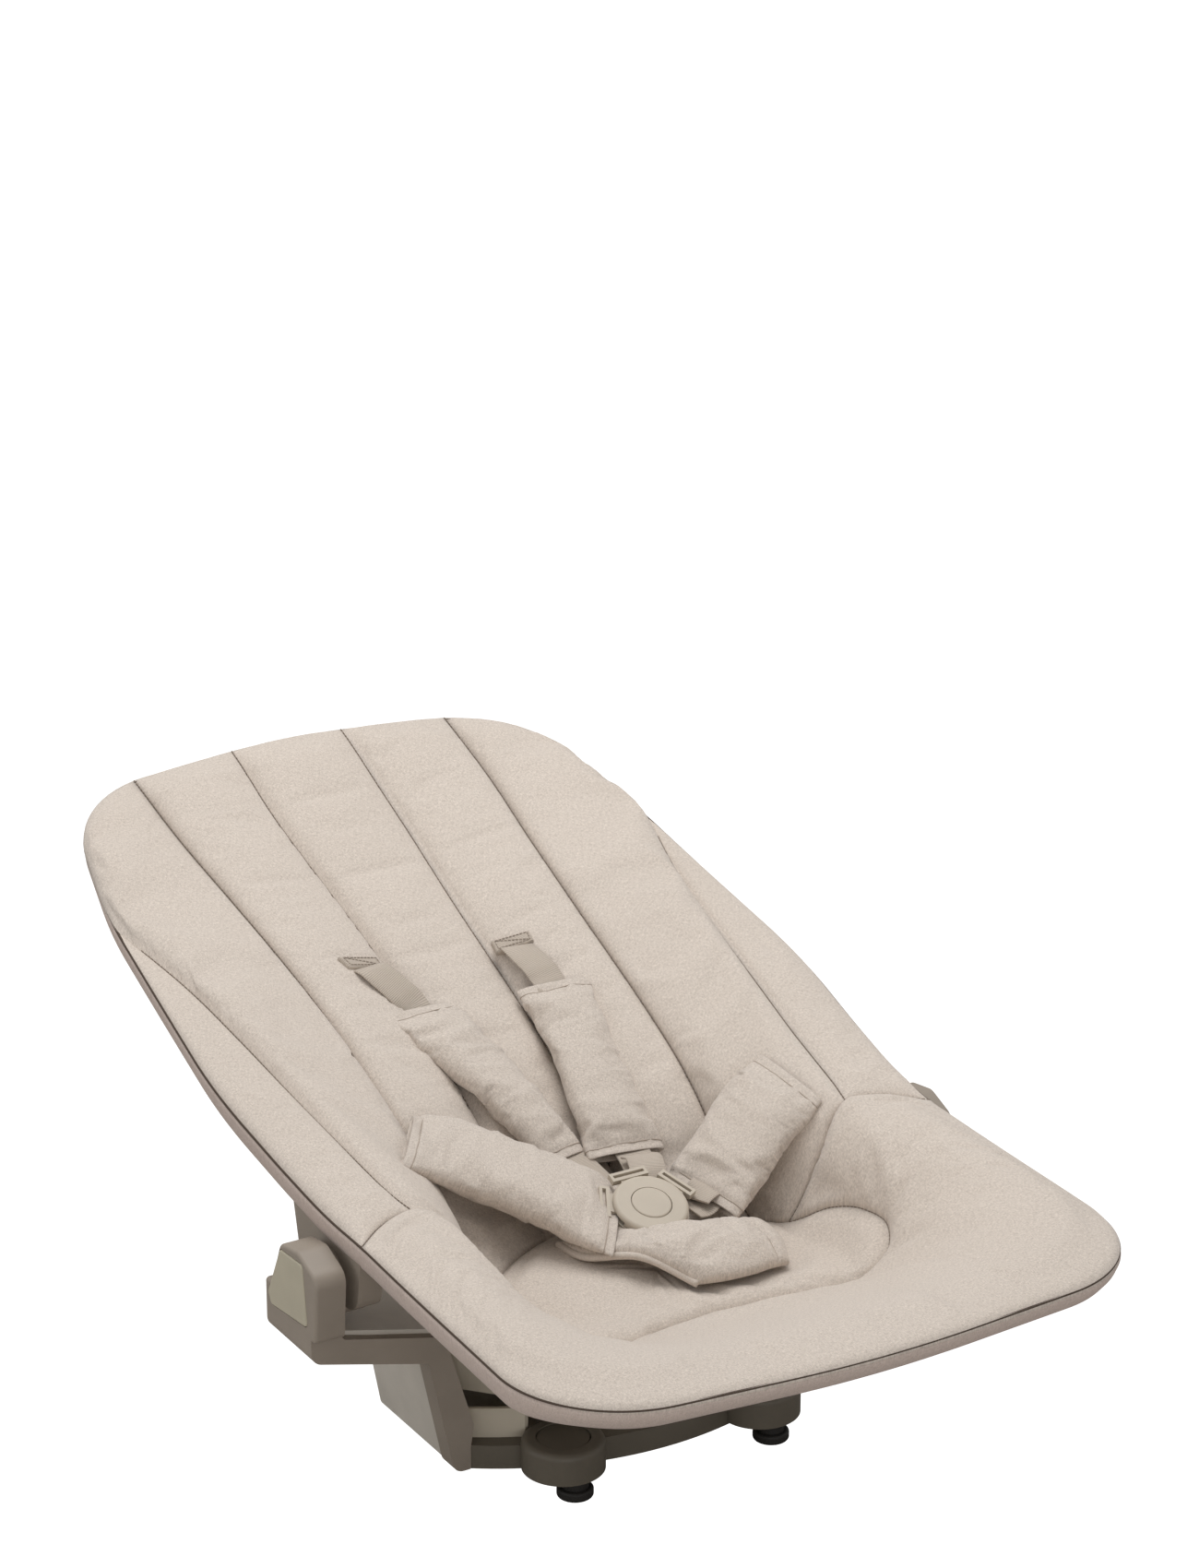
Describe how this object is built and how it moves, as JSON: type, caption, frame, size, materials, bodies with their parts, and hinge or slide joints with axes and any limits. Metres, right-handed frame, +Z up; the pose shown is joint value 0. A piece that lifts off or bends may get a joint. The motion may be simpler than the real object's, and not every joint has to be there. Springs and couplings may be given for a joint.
{
  "type": "bouncer seat",
  "caption": "Padded newborn bouncer seat pivoted between the arms of a low moulded base, with channelled back, harness and round buckle.",
  "frame": {"origin": "on the floor, under the middle of the whole object", "axes": "+Z up, -Y towards the foot end of the seat, +X to the right seen from the foot end"},
  "size_m": [0.4836, 0.792, 0.3319],
  "materials": {
    "arm_plastic": "fine spark-eroded texture, taupe",
    "cap_plastic": "satin khaki",
    "panel_plastic": "satin warm grey",
    "floor_plastic": "satin khaki",
    "foot_plastic": "fine texture, dark taupe",
    "stud_rubber": "matt black",
    "tube_steel": "powder coat",
    "spring_steel": "plain",
    "zinc_steel": "zinc plated",
    "bush_plastic": "natural acetal",
    "cover_fabric": "soft melange weave, padded",
    "band_fabric": "plain weave",
    "webbing": "ribbed webbing",
    "buckle_plastic": "satin beige"
  },
  "bodies": {
    "base": {"arm_left": "arm_plastic", "arm_right": "arm_plastic", "base_screws": "zinc_steel", "base_tray": "floor_plastic", "button_spring_left": "spring_steel", "button_spring_right": "spring_steel", "foot_spring_left": "spring_steel", "foot_spring_right": "spring_steel", "foot_stud_left": "stud_rubber", "foot_stud_right": "stud_rubber", "front_bow": "foot_plastic", "pivot_pin_left": "zinc_steel", "pivot_pin_right": "zinc_steel", "platform_cover": "floor_plastic", "rear_foot_left": "stud_rubber", "rear_foot_right": "stud_rubber", "side_panel_left": "panel_plastic", "side_panel_right": "panel_plastic", "side_shelf_left": "panel_plastic", "side_shelf_right": "panel_plastic"},
    "seat": {"back_pad": "cover_fabric", "buckle_body": "buckle_plastic", "buckle_cover": "buckle_plastic", "buckle_spring": "spring_steel", "crotch_pad": "cover_fabric", "foot_frame_tube": "tube_steel", "foot_pad": "cover_fabric", "head_frame_tube": "tube_steel", "pivot_bush_left": "bush_plastic", "pivot_bush_right": "bush_plastic", "seat_bracket_left": "arm_plastic", "seat_bracket_right": "arm_plastic", "seat_cushion": "cover_fabric", "shoulder_pad_left": "cover_fabric", "shoulder_pad_right": "cover_fabric", "shoulder_strap_left": "webbing", "shoulder_strap_right": "webbing", "side_band": "band_fabric", "side_pad_left": "cover_fabric", "side_pad_right": "cover_fabric", "slot_patch_left": "webbing", "slot_patch_right": "webbing", "strap_anchor_left": "zinc_steel", "strap_anchor_right": "zinc_steel", "tongue_centre": "buckle_plastic", "tongue_left": "buckle_plastic", "tongue_right": "buckle_plastic", "tube_screws": "zinc_steel", "under_sling": "band_fabric", "waist_pad_left": "cover_fabric", "waist_pad_right": "cover_fabric"},
    "recline_button_left": {"recline_button_left": "cap_plastic"},
    "recline_button_right": {"recline_button_right": "cap_plastic"},
    "foot_cap_left": {"foot_cap_left": "foot_plastic"},
    "foot_cap_right": {"foot_cap_right": "foot_plastic"},
    "buckle_button": {"buckle_button": "buckle_plastic"}
  },
  "joints": [
    {"name": "seat_recline", "type": "hinge", "parent": "base", "child": "seat", "pos_m": [0, -0.0695, 0.16], "axis": [1, 0, 0], "range_deg": [0, 15]},
    {"name": "recline_button_left_press", "type": "slide", "parent": "base", "child": "recline_button_left", "axis": [1, 0, 0], "range_m": [0, 0.004], "stiffness_N_per_m": 600, "springref_m": -0.002, "deforming": ["button_spring_left"]},
    {"name": "recline_button_right_press", "type": "slide", "parent": "base", "child": "recline_button_right", "axis": [-1, 0, 0], "range_m": [0, 0.004], "stiffness_N_per_m": 600, "springref_m": -0.002, "deforming": ["button_spring_right"]},
    {"name": "foot_cap_left_press", "type": "slide", "parent": "base", "child": "foot_cap_left", "axis": [0, 0, -1], "range_m": [0, 0.0018], "stiffness_N_per_m": 600, "springref_m": -0.002, "deforming": ["foot_spring_left"]},
    {"name": "foot_cap_right_press", "type": "slide", "parent": "base", "child": "foot_cap_right", "axis": [0, 0, -1], "range_m": [0, 0.0018], "stiffness_N_per_m": 600, "springref_m": -0.002, "deforming": ["foot_spring_right"]},
    {"name": "buckle_button_press", "type": "slide", "parent": "seat", "child": "buckle_button", "axis": [0, 0.3746, -0.9272], "range_m": [0, 0.0025], "stiffness_N_per_m": 600, "springref_m": -0.002, "deforming": ["buckle_spring"]}
  ]
}
